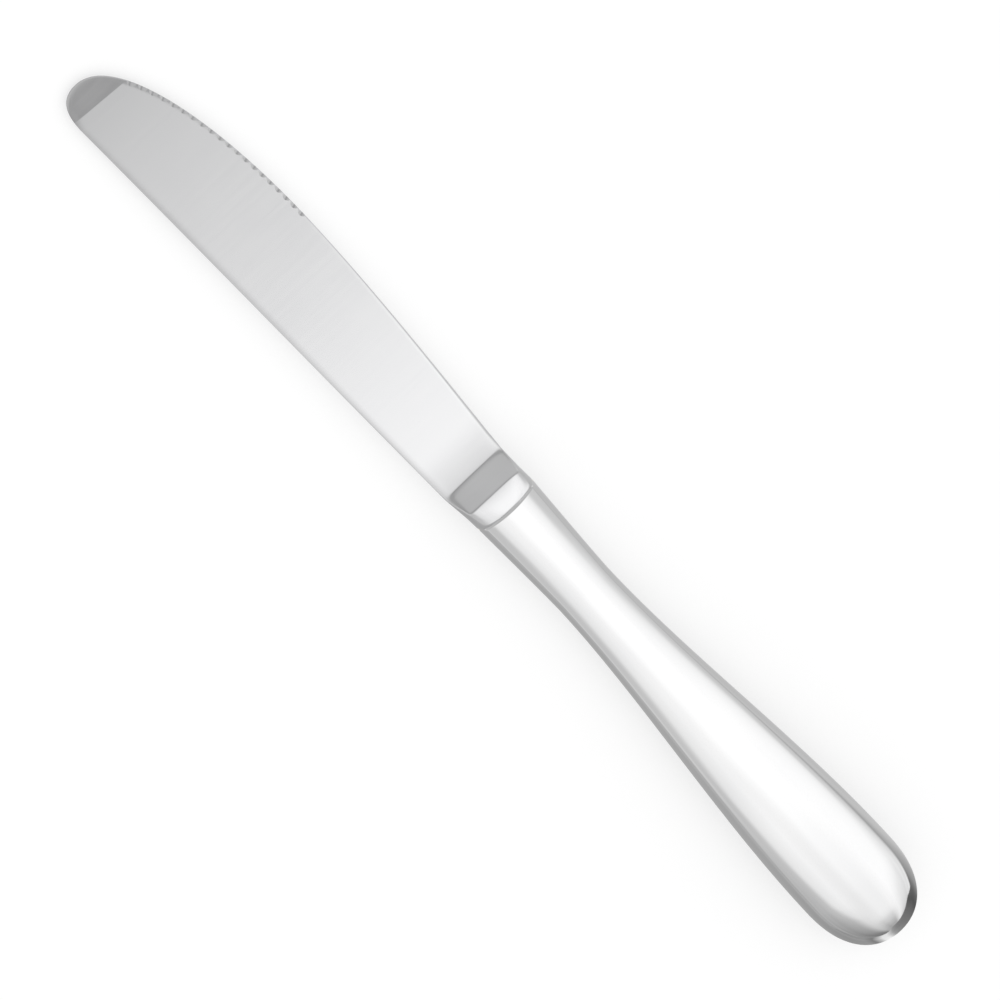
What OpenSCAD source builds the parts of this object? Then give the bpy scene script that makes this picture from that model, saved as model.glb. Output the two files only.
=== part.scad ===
// Hollow-handle table knife. The blade, its bolster and its tang are one forging.
// The handle is two stamped half shells, brazed rim to rim and cemented to the tang.
// The knife is drawn along X from the joint between bolster and handle, with the
// tip towards +X and the spine towards +Y, and is then laid down as it rests.

/* [Handle] */
// Length of the handle from its mouth to the butt
handle_l = 119.4; // [95:0.1:140]
// Width of the handle at its mouth
mouth_w = 13.6; // [12:0.1:17]
// Width of the handle where it is narrowest
neck_w = 12; // [10.5:0.1:13]
// Width of the handle where it is fullest
belly_w = 21.5; // [17:0.1:26]
// Length of the neck, from the mouth to the narrowest place
neck_l = 23; // [15:0.5:32]
// Length of the butt, from the fullest place to the end
butt_l = 15.9; // [12:0.1:25]
// Thickness of the handle as a share of its width
handle_flat_share = 0.6; // [0.5:0.01:0.75]
// Thickness of the sheet that the half shells are stamped from
shell_wall = 0.7; // [0.4:0.05:1]
// Depth of the groove where the bolster meets the handle, on each side of the joint
joint_groove = 0.18; // [0.1:0.01:0.3]

/* [Bolster] */
// Length of the oval bolster in front of the handle
bolster_l = 4.9; // [3:0.1:8]
// Length of the ramp from the bolster down to the blade
ramp_l = 4; // [2.5:0.1:7]
// Width of the bolster at the top of the ramp
bolster_w = 13.6; // [12:0.1:17]
// Width by which the bolster leans towards the spine at the top of the ramp
bolster_lean_w = 0.3; // [0:0.05:0.8]
// Distance by which the two sides of the crease lie behind its highest place
crease_back_l = 1.65; // [0:0.05:2.5]

/* [Blade] */
// Length of the blade from the foot of the ramp to the tip
blade_l = 106.7; // [80:0.1:130]
// Distance of the spine from the knife's axis at the heel
heel_spine = 7.6; // [6.5:0.1:9]
// Distance of the cutting edge from the knife's axis at the heel
heel_edge = 6.5; // [5.5:0.1:8]
// Distance of the cutting edge from the axis at the belly of the blade
belly_edge = 9; // [8:0.1:12]
// Distance from the heel to the belly of the blade
belly_x = 56.5; // [35:0.5:65]
// Distance of the spine from the axis near the tip
tip_spine = 10.3; // [8:0.1:12]
// Distance of the foremost point of the tip from the axis
nose_y = 5.4; // [3:0.1:7]
// Length of the round at the back of the tip
nose_l = 7.4; // [4:0.1:12]
// Thickness of the blade at the heel, on the spine
heel_spine_t = 2; // [1.6:0.05:2.6]
// Thickness of the blade at the heel, on the edge
heel_edge_t = 1.4; // [1.2:0.05:1.5]
// Thickness of the blade at the tip, on the spine
tip_spine_t = 1.2; // [1.1:0.05:1.5]
// Length of the tip that is ground thinner, with a straight step across the blade
tip_thin_l = 6.1; // [3:0.1:10]
// Thickness of the blade at the foremost point of the thinned tip
tip_thin_t = 0.45; // [0.35:0.05:0.7]
// Width of the ground bevel along the cutting edge
bevel_w = 0.9; // [0.5:0.05:1.4]
// Thickness left at the cutting edge
edge_t = 0.24; // [0.15:0.01:0.35]
// Width of the rounding along the spine
spine_round = 0.4; // [0.2:0.05:0.5]

/* [Serration] */
// Number of flutes ground into the cutting edge
flute_count = 20; // [8:1:24]
// Distance from one flute to the next, along the blade
flute_pitch = 2.1; // [1.6:0.05:2.2]
// Distance from the tip back to the first flute
flute_start = 8.6; // [7:0.1:14]
// Radius of the wheel that grinds a flute
flute_r = 1.1; // [0.8:0.05:1.6]
// Depth of a flute below the middle of the blade, at the edge
flute_depth = 0.34; // [0.2:0.01:0.4]
// Slope of a flute up to the cheek of the blade, in degrees
flute_slope = 34; // [25:1:45]

/* [Tang] */
// Length of the oval spigot that enters the mouth of the handle
spigot_l = 8; // [5:0.5:12]
// Clearance round the spigot
spigot_gap = 0.06; // [0.04:0.01:0.12]
// Length of the tang behind the spigot
tang_l = 42; // [25:1:55]
// Width of the tang
tang_w = 7; // [5:0.1:8]
// Thickness of the tang
tang_t = 2.6; // [1.8:0.1:3]
// Radius of the notches that key the tang into the cement
notch_r = 1.2; // [0.8:0.1:1.6]
// Number of notches on each side of the tang
notch_count = 4; // [1:1:5]

/* [Braze and cement] */
// Thickness of the braze between the rims of the half shells
braze_t = 0.1; // [0.06:0.01:0.2]
// Depth of the cement in the handle, from the mouth
cement_l = 62; // [60:1:75]
// Clearance between the cement and the metal round it
cement_gap = 0.05; // [0.03:0.01:0.1]

/* [Hidden] */

// Overrun that lets every cut pass right through
cut_over = 1;
// How full the handle's curves are: 1 is straight, and the butt's 2 is an ellipse
mouth_fall_share = 1.2;
belly_swell_share = 0.95;
butt_round_share = 2.3;
// Number of steps along the handle to its fullest place, and from there to the butt
swell_steps = 30;
butt_steps = 14;
// Number of sides round the bolster and round the turned surfaces
ring_steps = 48;
turn_steps = 96;
// Number of steps along the spigot and along the cement
spigot_steps = 4;
cement_steps = 18;
// Number of steps along each curve of the blade's outline
edge_steps = 16;
nose_steps = 18;
spine_steps = 12;
// Flare of the blade's edge behind the ramp, as a slope
heel_flare_share = 0.066;
// Slope of the spine near the tip
spine_slope_share = 0.033;
// Pull of each outline curve at its two ends, as shares of its own length and height
heel_pull_share = 0.34;
belly_back_pull_share = 0.31;
belly_fore_pull_share = 0.54;
nose_fore_pull_share = 0.64;
nose_back_pull_share = 0.78;
nose_top_pull_share = 0.62;
spine_pull_share = 0.3;
// Fullness of the section at the foot of the ramp, where it becomes the flat blade
foot_round_share = 7;
// Distance from one notch of the tang to the next
notch_pitch = tang_l / (notch_count + 1);

// Quarter turns that make up the upper half of a turned solid, and the whole of it
upper_half = [-1, 0];
all_round = [-2, -1, 0, 1];

// Derived places along the knife
foot_x = bolster_l + ramp_l;
tip_x = foot_x + blade_l;
mouth_r = mouth_w / 2;
belly_at = handle_l - butt_l;
// The cavity is a little flatter than the handle, so that the wall stays even
mean_r = (belly_w + neck_w) / 4;
cavity_flat = (mean_r * handle_flat_share - shell_wall) / (mean_r - shell_wall);

// Half the width of the handle at a distance from its mouth, up to its fullest place
function swell(share) = 3 * pow(share, 2) - 2 * pow(share, 3);
function neck_rise(d) = pow((neck_l - d) / neck_l, mouth_fall_share);
function belly_rise(d) = swell(pow((d - neck_l) / (belly_at - neck_l), belly_swell_share));
function handle_r(d) = d < neck_l
    ? neck_w / 2 + (mouth_w - neck_w) / 2 * neck_rise(d)
    : neck_w / 2 + (belly_w - neck_w) / 2 * belly_rise(d);

// Side profile of the handle as [radius, distance], or of its cavity when inset
function swell_places() = [for (i = [0 : swell_steps]) belly_at * i / swell_steps];
function butt_point(inset, angle) = [
    (belly_w / 2 - inset) * pow(cos(angle), 2 / butt_round_share),
    belly_at + (butt_l - inset) * pow(sin(angle), 2 / butt_round_share)];
function handle_profile(inset) = concat(
    [for (d = swell_places()) [handle_r(d) - inset, d]],
    [for (i = [1 : butt_steps]) butt_point(inset, 90 * i / butt_steps)]);

// Cubic curve through two ends, drawn towards two pulls
function curve_point(a, b, c, d, t) = pow(1 - t, 3) * a + 3 * pow(1 - t, 2) * t * b
    + 3 * (1 - t) * pow(t, 2) * c + pow(t, 3) * d;
function curve(a, b, c, d, steps) = [for (i = [0 : steps - 1]) curve_point(a, b, c, d, i / steps)];

// Corners of the blade's outline, from the edge at the heel round the tip to the spine
heel_low = [foot_x, -heel_edge];
belly_low = [foot_x + belly_x, -belly_edge];
nose = [tip_x, nose_y];
tip_top = [tip_x - nose_l, tip_spine];
heel_top = [foot_x, heel_spine];
back_l = belly_x;
fore_l = blade_l - belly_x;
fore_h = nose_y + belly_edge;
top_h = tip_spine - nose_y;
top_l = blade_l - nose_l;

edge_back = curve(heel_low, heel_low + back_l * heel_pull_share * [1, -heel_flare_share],
    belly_low - [back_l * belly_back_pull_share, 0], belly_low, edge_steps);
edge_fore = curve(belly_low, belly_low + [fore_l * belly_fore_pull_share, 0],
    nose - [0, fore_h * nose_fore_pull_share], nose, nose_steps);
nose_top = curve(nose, nose + [0, top_h * nose_back_pull_share],
    tip_top + nose_l * nose_top_pull_share * [1, spine_slope_share], tip_top, nose_steps);
spine_line = curve(tip_top, tip_top - top_l * spine_pull_share * [1, spine_slope_share],
    heel_top + top_l * spine_pull_share * [1, spine_slope_share], heel_top, spine_steps);
outline = concat(edge_back, edge_fore, nose_top, spine_line, [heel_top]);
outline_n = len(outline);
// 0 along the cutting edge, 1 along the spine, and between the two round the nose
spine_share = concat([for (p = edge_back) 0], [for (p = edge_fore) 0],
    [for (i = [0 : nose_steps - 1]) i / nose_steps], [for (p = spine_line) 1], [1]);

// Half thickness of the blade between its two flat cheeks
cheek_fall_y = (heel_spine_t - heel_edge_t) / 2 / (heel_spine + heel_edge);
cheek_fall_x = ((heel_spine_t - tip_spine_t) / 2
    + cheek_fall_y * (tip_spine - heel_spine)) / (blade_l - nose_l);
function cheek_z(p) = heel_spine_t / 2 - cheek_fall_x * (p[0] - foot_x)
    - cheek_fall_y * (heel_spine - p[1]);

// Ends of the outline run square to the heel, and the rest turns with its neighbours
function along(i) = outline[min(i + 1, outline_n - 1)] - outline[max(i - 1, 0)];
function inward(i) = [-along(i)[1], along(i)[0]] / norm(along(i));
function mix(a, b, share) = a + (b - a) * share;
function rim_inset(i) = mix(bevel_w, spine_round, spine_share[i]);
function flat_point(i) = outline[i] + inward(i) * rim_inset(i);
function rim_z(i) = mix(edge_t / 2, cheek_z(outline[i]) - spine_round, spine_share[i]);
function raised(p, z) = [p[0], p[1], z];

// Attitude at rest: the flat under the bolster's crease and the belly of the handle touch
// the table
function handle_drop(d) = handle_r(d) * handle_flat_share + braze_t / 2;
bolster_drop = bolster_w / 2 * handle_flat_share * cos(180 / ring_steps);
rest_tilt = max([for (d = swell_places()) atan((handle_drop(d) - bolster_drop) / (d + bolster_l))]);
rest_height = bolster_drop * cos(rest_tilt) + bolster_l * sin(rest_tilt);
rest_mid_x = (tip_x - handle_l) / 2 * cos(rest_tilt);

module at_rest() {
    translate([-rest_mid_x, 0, rest_height])
        rotate([0, rest_tilt, 0])
            children();
}

// Blade plate: flat cheeks that thin towards the edge and the tip, with a ground bevel
module blade_plate() {
    top = [for (i = [0 : outline_n - 1]) raised(flat_point(i), cheek_z(flat_point(i)))];
    rim_top = [for (i = [0 : outline_n - 1]) raised(outline[i], rim_z(i))];
    rim_bottom = [for (p = rim_top) raised(p, -p[2])];
    bottom = [for (p = top) raised(p, -p[2])];
    loops = [top, rim_top, rim_bottom, bottom];
    faces = concat(
        [[for (i = [outline_n - 1 : -1 : 0]) i]],
        [[for (i = [0 : outline_n - 1]) 3 * outline_n + i]],
        [for (k = [0 : 2], i = [0 : outline_n - 1])
            let (a = k * outline_n, b = a + outline_n, j = (i + 1) % outline_n)
            [a + i, a + j, b + j, b + i]]);
    polyhedron([for (ring = loops, p = ring) p], faces, convexity = 4);
}

// Cut above a cheek that thins the tip: it falls along the blade from a straight line
tip_thin_x = tip_x - tip_thin_l;
tip_thin_fall = (cheek_z([tip_thin_x, nose_y]) - tip_thin_t / 2) / tip_thin_l;
module tip_thinning() {
    pitch = atan(tip_thin_fall);
    translate([tip_thin_x, nose_y, cheek_z([tip_thin_x, nose_y])])
        rotate([atan(cheek_fall_y * cos(pitch)), pitch, 0])
            translate([-blade_l / 2, -blade_l / 2, 0])
                cube([blade_l, blade_l, heel_spine_t]);
}

// One flute: a wheel's round cut that runs down to the edge and leaves it scalloped
edge_run = concat(edge_back, edge_fore);
function edge_y(x) = lookup(x, edge_run);
module flute(x) {
    slope_y = (edge_y(x + flute_r) - edge_y(x - flute_r)) / (2 * flute_r);
    wheel_l = (bevel_w + heel_edge_t) * 2;
    translate([x, edge_y(x), -flute_depth])
        rotate([0, 0, atan(slope_y)])
            rotate([flute_slope - 90, 0, 0])
                translate([0, -flute_r, 0])
                    cylinder(h = 2 * wheel_l, r = flute_r, center = true, $fn = turn_steps);
}

module flutes() {
    for (i = [0 : flute_count - 1])
        flute(tip_x - flute_start - i * flute_pitch);
}

// Sections of the forging: an oval, of which the sides can lie back, and at the foot of
// the ramp a flat, full section between the two cheeks of the blade. Their corners are
// turned by half a step, so that one side lies flat underneath.
function ring_angles() = [for (i = [0 : ring_steps - 1]) 180 * (2 * i + 1) / ring_steps];
function oval_ring(x, mid, w, back = 0) = [for (angle = ring_angles())
    [x - back * (1 - abs(sin(angle))),
        mid + w / 2 * cos(angle),
        w / 2 * handle_flat_share * sin(angle)]];
function foot_rise(across) = pow(1 - pow(abs(across), foot_round_share), 1 / foot_round_share);
function foot_ring() = [for (angle = ring_angles())
    let (y = (heel_spine - heel_edge) / 2 + (heel_spine + heel_edge) / 2 * cos(angle))
    [foot_x, y, sign(sin(angle)) * cheek_z([foot_x, y]) * foot_rise(cos(angle))]];

// Bolster and ramp: an oval that leans to the spine, and from a slanted crease drops to
// the flat of the blade
module bolster() {
    rings = [
        oval_ring(0, 0, mouth_w - 2 * joint_groove),
        oval_ring(joint_groove, 0, mouth_w),
        oval_ring(bolster_l, bolster_lean_w, bolster_w, crease_back_l),
        foot_ring()];
    faces = concat(
        [[for (i = [0 : ring_steps - 1]) i]],
        [[for (i = [ring_steps - 1 : -1 : 0]) (len(rings) - 1) * ring_steps + i]],
        [for (k = [0 : len(rings) - 2], i = [0 : ring_steps - 1])
            let (a = k * ring_steps, b = a + ring_steps, j = (i + 1) % ring_steps)
            [a + j, a + i, b + i, b + j]]);
    polyhedron([for (one = rings, p = one) p], faces, convexity = 4);
}

// Flat tang with rounded notches along both sides, grown by a gap for the cement's cut
module tang(gap) {
    translate([-spigot_l, 0, -tang_t / 2 - gap])
        linear_extrude(tang_t + 2 * gap)
            difference() {
                translate([-tang_l - gap, -tang_w / 2 - gap])
                    square([tang_l + gap + cut_over, tang_w + 2 * gap]);
                for (i = [1 : notch_count], side = [-1, 1])
                    translate([-i * notch_pitch, side * tang_w / 2])
                        circle(r = notch_r - gap, $fn = turn_steps);
            }
}

// Turned solid from a profile of [radius, distance] along -X, flattened, in quarter turns
module turned(points, flat, quarters) {
    for (q = quarters)
        scale([1, 1, flat])
            rotate([0, -90, 0])
                rotate([0, 0, 90 * q])
                    rotate_extrude(angle = 90, $fn = turn_steps)
                        polygon(points);
}

// Upper half of the inside of the handle, open past the mouth by the overrun
module cavity() {
    inside = handle_profile(shell_wall);
    turned(concat([[0, -cut_over], [inside[0][0], -cut_over]], inside), cavity_flat, upper_half);
}

// One half shell, which stands off the middle plane by half the braze
module half_shell() {
    skin = handle_profile(0);
    groove_r = mouth_r - joint_groove;
    rim = concat([[0, 0], [groove_r, 0], [handle_r(joint_groove), joint_groove]],
        [for (i = [1 : len(skin) - 1]) skin[i]]);
    translate([0, 0, braze_t / 2])
        difference() {
            turned(rim, handle_flat_share, upper_half);
            cavity();
        }
}

// Core that follows the inside of the handle between two distances, with a gap round it
module core(from, to, steps, gap) {
    side = [for (i = [0 : steps])
        let (d = mix(from, to, i / steps))
        [handle_r(d) - shell_wall - gap, d]];
    turned(concat([[0, from]], side, [[0, to]]), cavity_flat, all_round);
}

module blade() {
    color("gainsboro")
        at_rest() {
            difference() {
                blade_plate();
                flutes();
                tip_thinning();
                mirror([0, 0, 1])
                    tip_thinning();
            }
            bolster();
            core(0, spigot_l, spigot_steps, spigot_gap);
            tang(0);
        }
}

module handle_shell_front() {
    color("silver")
        at_rest()
            half_shell();
}

module handle_shell_back() {
    color("darkgray")
        at_rest()
            mirror([0, 0, 1])
                half_shell();
}

module handle_outline(inset) {
    side = handle_profile(inset);
    polygon(concat([for (p = side) [-p[1], p[0]]],
        [for (i = [len(side) - 2 : -1 : 0]) [-side[i][1], -side[i][0]]]));
}

module seam_braze() {
    color("darkkhaki")
        at_rest()
            translate([0, 0, -braze_t / 2])
                linear_extrude(braze_t)
                    difference() {
                        handle_outline(0);
                        handle_outline(shell_wall);
                        translate([-cut_over, -mouth_r + shell_wall])
                            square([2 * cut_over, mouth_w - 2 * shell_wall]);
                    }
}

module tang_cement() {
    color("tan")
        at_rest()
            difference() {
                core(spigot_l, cement_l, cement_steps, cement_gap);
                tang(cement_gap);
            }
}

blade();
handle_shell_front();
handle_shell_back();
seam_braze();
tang_cement();
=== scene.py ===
import math
from functools import partial
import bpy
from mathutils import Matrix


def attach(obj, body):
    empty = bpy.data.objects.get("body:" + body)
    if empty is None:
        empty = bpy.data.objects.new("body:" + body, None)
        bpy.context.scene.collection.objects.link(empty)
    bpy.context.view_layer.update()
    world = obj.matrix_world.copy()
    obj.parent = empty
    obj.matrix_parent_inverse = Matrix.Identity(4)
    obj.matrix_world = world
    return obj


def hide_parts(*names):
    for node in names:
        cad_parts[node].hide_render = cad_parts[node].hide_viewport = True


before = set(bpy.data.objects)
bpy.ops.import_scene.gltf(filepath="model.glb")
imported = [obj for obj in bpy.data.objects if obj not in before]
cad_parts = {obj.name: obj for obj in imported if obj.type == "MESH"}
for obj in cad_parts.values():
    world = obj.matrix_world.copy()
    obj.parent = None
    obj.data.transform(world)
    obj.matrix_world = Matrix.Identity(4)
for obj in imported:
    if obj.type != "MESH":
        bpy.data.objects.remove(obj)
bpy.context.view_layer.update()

from types import SimpleNamespace

import bmesh
import bpy
from mathutils import Matrix, Vector

print("frame loaded:", ", ".join(sorted(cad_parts)))

mm = 0.001  # the knife's sizes are in millimetres, and its meshes are laid down in metres
quarter = math.pi / 2


# Shared sums

def mix(a, b, share):
    return a + (b - a) * share


def clamp(value, low=0.0, high=1.0):
    return max(low, min(high, value))


def ease(share):
    return share * share * (3 - 2 * share)


def roundOff(reach, distance):
    back = clamp(1 - distance / reach)
    return reach * (1 - math.sqrt(1 - back * back))  # drop of a quarter round


# Handle and bolster: sizes shared by the shells, the spigot and the way the knife lies

handle = {
    "length": 119.4,
    "mouthWidth": 13.6,
    "neckWidth": 12.0,
    "bellyWidth": 21.5,
    "neckLength": 23.0,
    "buttLength": 15.9,
    "flatness": 0.6,  # thickness as a share of the width
    "wall": 0.7,
    "mouthRound": 0.55,  # rolled edge at the joint with the bolster
    "mouthFall": 1.2,
    "bellySwell": 0.95,
    "buttRound": 2.3,
    "brazeGap": 0.1,
    "rows": 220,
    "buttShare": 0.3,  # share of the rows that goes to the butt
    "columns": 56,
    "weld": 0.0005,
    "sharpAngle": 40.0,
}
bellyAt = handle["length"] - handle["buttLength"]
meanRadius = (handle["bellyWidth"] + handle["neckWidth"]) / 4
cavityFlatness = (meanRadius * handle["flatness"] - handle["wall"]) / (meanRadius - handle["wall"])

bolster = {
    "length": 4.9,
    "creaseBack": 1.65,  # the two sides of the crease lie behind its highest place
    "rampLength": 4.0,
    "width": 13.6,
    "lean": 0.3,
    "mouthRound": 0.5,  # rolled edge at the joint with the handle
    "crownLength": 3.0,  # the barrel falls a little towards the crease
    "crownFall": 0.12,
    "creaseRound": 0.35,
    "squareness": 3.3,  # an oval has 2, and the section gets squarer towards the crease
    "edgeSquareness": 4.8,
    "facets": 48,  # the solid has flats, and lies on one of them
    "footRound": 0.6,
    "footClear": 1.2,  # the blade's own rings go on this many rounds beyond the foot
    "footFullness": 7,
    "footShare": 0.99,  # the full section stops just short of its upright sides
}
bolsterFlat = math.cos(math.pi / bolster["facets"])


def handleRadius(d):
    neck, mouth = handle["neckWidth"] / 2, handle["mouthWidth"] / 2
    if d < handle["neckLength"]:
        back = (handle["neckLength"] - d) / handle["neckLength"]
        return neck + (mouth - neck) * back ** handle["mouthFall"]
    reach = (d - handle["neckLength"]) / (bellyAt - handle["neckLength"])
    return neck + (handle["bellyWidth"] / 2 - neck) * ease(clamp(reach) ** handle["bellySwell"])


def layDown(tipX, restSteps=30):
    # the knife tips back until the belly of the handle and the bolster both touch the table
    bolsterDrop = bolster["width"] / 2 * handle["flatness"] * bolsterFlat
    places = [bellyAt * i / restSteps for i in range(restSteps + 1)]
    tilt = max(
        math.atan(
            (handleRadius(d) * handle["flatness"] + handle["brazeGap"] / 2 - bolsterDrop)
            / (d + bolster["length"])
        )
        for d in places
    )
    height = bolsterDrop * math.cos(tilt) + bolster["length"] * math.sin(tilt)
    middle = (tipX - handle["length"]) / 2 * math.cos(tilt)
    place = Matrix.Translation((-middle, 0, height)) @ Matrix.Rotation(tilt, 4, "Y")
    return Matrix.Scale(mm, 4) @ place


# Small helpers for node trees

sumKinds = {
    "plus": "ADD", "minus": "SUBTRACT", "times": "MULTIPLY", "over": "DIVIDE", "power": "POWER",
    "larger": "MAXIMUM", "smaller": "MINIMUM", "above": "GREATER_THAN", "below": "LESS_THAN",
    "round": "ROUND", "size": "ABSOLUTE", "root": "SQRT", "sine": "SINE", "cosine": "COSINE",
    "angle": "ARCTAN2", "degrees": "DEGREES", "radians": "RADIANS",
}


def feed(tree, socket, value):
    if isinstance(value, bpy.types.NodeSocket):
        tree.links.new(value, socket)
    else:
        socket.default_value = value


def addNode(tree, kind, settings=None, **inputs):
    node = tree.nodes.new(kind)
    for key, value in (settings or {}).items():
        setattr(node, key, value)
    for key, value in inputs.items():
        feed(tree, node.inputs[key.replace("_", " ")], value)
    return node


def sums(tree, operation, *values):
    node = tree.nodes.new("ShaderNodeMath")
    node.operation = operation
    for socket, value in zip(node.inputs, values):
        feed(tree, socket, value)
    return node.outputs[0]


def sumsIn(tree):
    # the same sums under short names, as in do.plus(a, b)
    return SimpleNamespace(**{name: partial(sums, tree, kind) for name, kind in sumKinds.items()})


def choose(tree, test, whenNot, whenSo):
    isSo = sums(tree, "GREATER_THAN", test, 0.5)
    node = addNode(tree, "GeometryNodeSwitch", {"input_type": "FLOAT"}, Switch=isSo)
    feed(tree, node.inputs["False"], whenNot)
    feed(tree, node.inputs["True"], whenSo)
    return node.outputs[0]


def newGeometryTree(name, numbers, counts=()):
    tree = bpy.data.node_groups.new(name, "GeometryNodeTree")
    tree.interface.new_socket("Geometry", in_out="INPUT", socket_type="NodeSocketGeometry")
    for label in numbers:
        tree.interface.new_socket(label, in_out="INPUT", socket_type="NodeSocketFloat")
    for label in counts:
        tree.interface.new_socket(label, in_out="INPUT", socket_type="NodeSocketInt")
    tree.interface.new_socket("Finish", in_out="INPUT", socket_type="NodeSocketMaterial")
    tree.interface.new_socket("Geometry", in_out="OUTPUT", socket_type="NodeSocketGeometry")
    start = tree.nodes.new("NodeGroupInput")
    return tree, start.outputs


def closeTree(tree, geometry, finish):
    whole = addNode(tree, "GeometryNodeRealizeInstances", Geometry=geometry)
    painted = addNode(tree, "GeometryNodeSetMaterial", Geometry=whole.outputs[0], Material=finish)
    end = tree.nodes.new("NodeGroupOutput")
    tree.links.new(painted.outputs[0], end.inputs[0])


def growMesh(name, tree, values, seedMesh=None):
    seed = bpy.data.objects.new(name + "_seed", seedMesh or bpy.data.meshes.new(name + "_seed"))
    bpy.context.scene.collection.objects.link(seed)
    modifier = seed.modifiers.new("grow", "NODES")
    modifier.node_group = tree
    sockets = {s.name: s.identifier for s in tree.interface.items_tree if s.in_out == "INPUT"}
    for label, value in values.items():
        modifier[sockets[label]] = value
    evaluated = seed.evaluated_get(bpy.context.evaluated_depsgraph_get())
    mesh = bpy.data.meshes.new_from_object(evaluated)
    mesh.name = name
    seed.modifiers.remove(modifier)
    bpy.data.objects.remove(seed)
    return mesh


def addPiece(name, mesh, finish, slotName, *nodes):
    mesh.materials.clear()
    mesh.materials.append(finish)
    piece = bpy.data.objects.new(name, mesh)
    bpy.context.scene.collection.objects.link(piece)
    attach(piece, "root")
    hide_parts(*nodes)
    triangles = sum(len(p.vertices) - 2 for p in mesh.polygons)
    print("piece", name, "with", triangles, "triangles")
    return piece


# Finishes

noiseLow, noiseHigh = 0.3, 0.7  # most of a noise lies between these


def newMaterial(name):
    material = bpy.data.materials.new(name)
    material.use_nodes = True
    tree = material.node_tree
    shader = tree.nodes["Principled BSDF"]
    return material, tree, shader


def noiseOn(tree, scale, detail, roughness, stretch=(1.0, 1.0, 1.0)):
    coordinates = addNode(tree, "ShaderNodeTexCoord")
    placed = addNode(tree, "ShaderNodeMapping", Vector=coordinates.outputs["Object"], Scale=stretch)
    noise = addNode(tree, "ShaderNodeTexNoise", Vector=placed.outputs[0],
                    Scale=scale, Detail=detail, Roughness=roughness)
    return noise.outputs["Fac"]


def mixed(tree, first, second, share):
    do = sumsIn(tree)
    return do.plus(do.times(first, share), do.times(second, 1 - share))


def spread(tree, value, low, high, fromLow=noiseLow, fromHigh=noiseHigh):
    node = addNode(tree, "ShaderNodeMapRange", Value=value,
                   From_Min=fromLow, From_Max=fromHigh, To_Min=low, To_Max=high)
    return node.outputs[0]


def tint(tree, value, dark, light):
    node = addNode(tree, "ShaderNodeValToRGB", Fac=value)
    first, last = node.color_ramp.elements
    first.position, last.position = noiseLow, noiseHigh
    first.color, last.color = (*dark, 1), (*light, 1)
    return node.outputs[0]


def paint(tree, shader, look, tones, wear, relief):
    # colour, roughness and a fine relief, each from a noise of its own or a shared one
    tree.links.new(tint(tree, tones, look["dark"], look["light"]), shader.inputs["Base Color"])
    tree.links.new(spread(tree, wear, *look["rough"]), shader.inputs["Roughness"])
    bump = addNode(tree, "ShaderNodeBump", Height=relief, Strength=look["strength"],
                   Distance=look["depth"])
    tree.links.new(bump.outputs[0], shader.inputs["Normal"])


def makeBladeSteel(name):
    look = {
        "dark": (0.775, 0.775, 0.785),
        "light": (0.825, 0.825, 0.83),
        "rough": (0.13, 0.2),
        # lines run across the blade, as it was ground
        "lines": {"scale": 900.0, "detail": 5.0, "roughness": 0.65, "stretch": (1.0, 0.05, 0.05)},
        "cloud": {"scale": 70.0, "detail": 2.0, "roughness": 0.5},
        "lineShare": 0.55,
        "strength": 0.25,
        "depth": 0.0000012,
    }
    material, tree, shader = newMaterial(name)
    shader.inputs["Metallic"].default_value = 1.0
    lines = noiseOn(tree, **look["lines"])
    both = mixed(tree, lines, noiseOn(tree, **look["cloud"]), look["lineShare"])
    paint(tree, shader, look, both, both, lines)
    return material


def makeHandleSteel(name):
    look = {
        "dark": (0.85, 0.85, 0.855),
        "light": (0.88, 0.88, 0.88),
        "rough": (0.05, 0.09),
        # faint polishing marks run along the handle
        "wipes": {"scale": 420.0, "detail": 4.0, "roughness": 0.6, "stretch": (0.12, 1.0, 1.0)},
        "cloud": {"scale": 45.0, "detail": 2.0, "roughness": 0.5},
        "wipeShare": 0.4,
        "strength": 0.12,
        "depth": 0.000001,
    }
    material, tree, shader = newMaterial(name)
    shader.inputs["Metallic"].default_value = 1.0
    wipes = noiseOn(tree, **look["wipes"])
    both = mixed(tree, wipes, noiseOn(tree, **look["cloud"]), look["wipeShare"])
    paint(tree, shader, look, both, both, wipes)
    return material


def makeBraze(name):
    look = {
        "dark": (0.74, 0.72, 0.66),
        "light": (0.83, 0.82, 0.78),
        "rough": (0.18, 0.34),
        "flow": {"scale": 600.0, "detail": 4.0, "roughness": 0.6},
        "strength": 0.3,
        "depth": 0.000004,
    }
    material, tree, shader = newMaterial(name)
    shader.inputs["Metallic"].default_value = 1.0
    flow = noiseOn(tree, **look["flow"])
    paint(tree, shader, look, flow, flow, flow)
    return material


def makeCement(name):
    look = {
        "dark": (0.37, 0.32, 0.27),
        "light": (0.52, 0.47, 0.41),
        "rough": (0.82, 0.96),
        "grain": {"scale": 1500.0, "detail": 6.0, "roughness": 0.7},
        "patch": {"scale": 160.0, "detail": 3.0, "roughness": 0.5},
        "grainShare": 0.5,
        "strength": 0.7,
        "depth": 0.00003,
    }
    material, tree, shader = newMaterial(name)
    grain = noiseOn(tree, **look["grain"])
    both = mixed(tree, grain, noiseOn(tree, **look["patch"]), look["grainShare"])
    paint(tree, shader, look, both, grain, grain)
    return material


bladeSteel = makeBladeSteel("bladeSteel")
handleSteel = makeHandleSteel("handleSteel")
brazeMetal = makeBraze("brazeMetal")
tangCement = makeCement("tangCement")
print("finishes made")


# Handle shells: one tree turns a flat grid into a closed half shell

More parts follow.
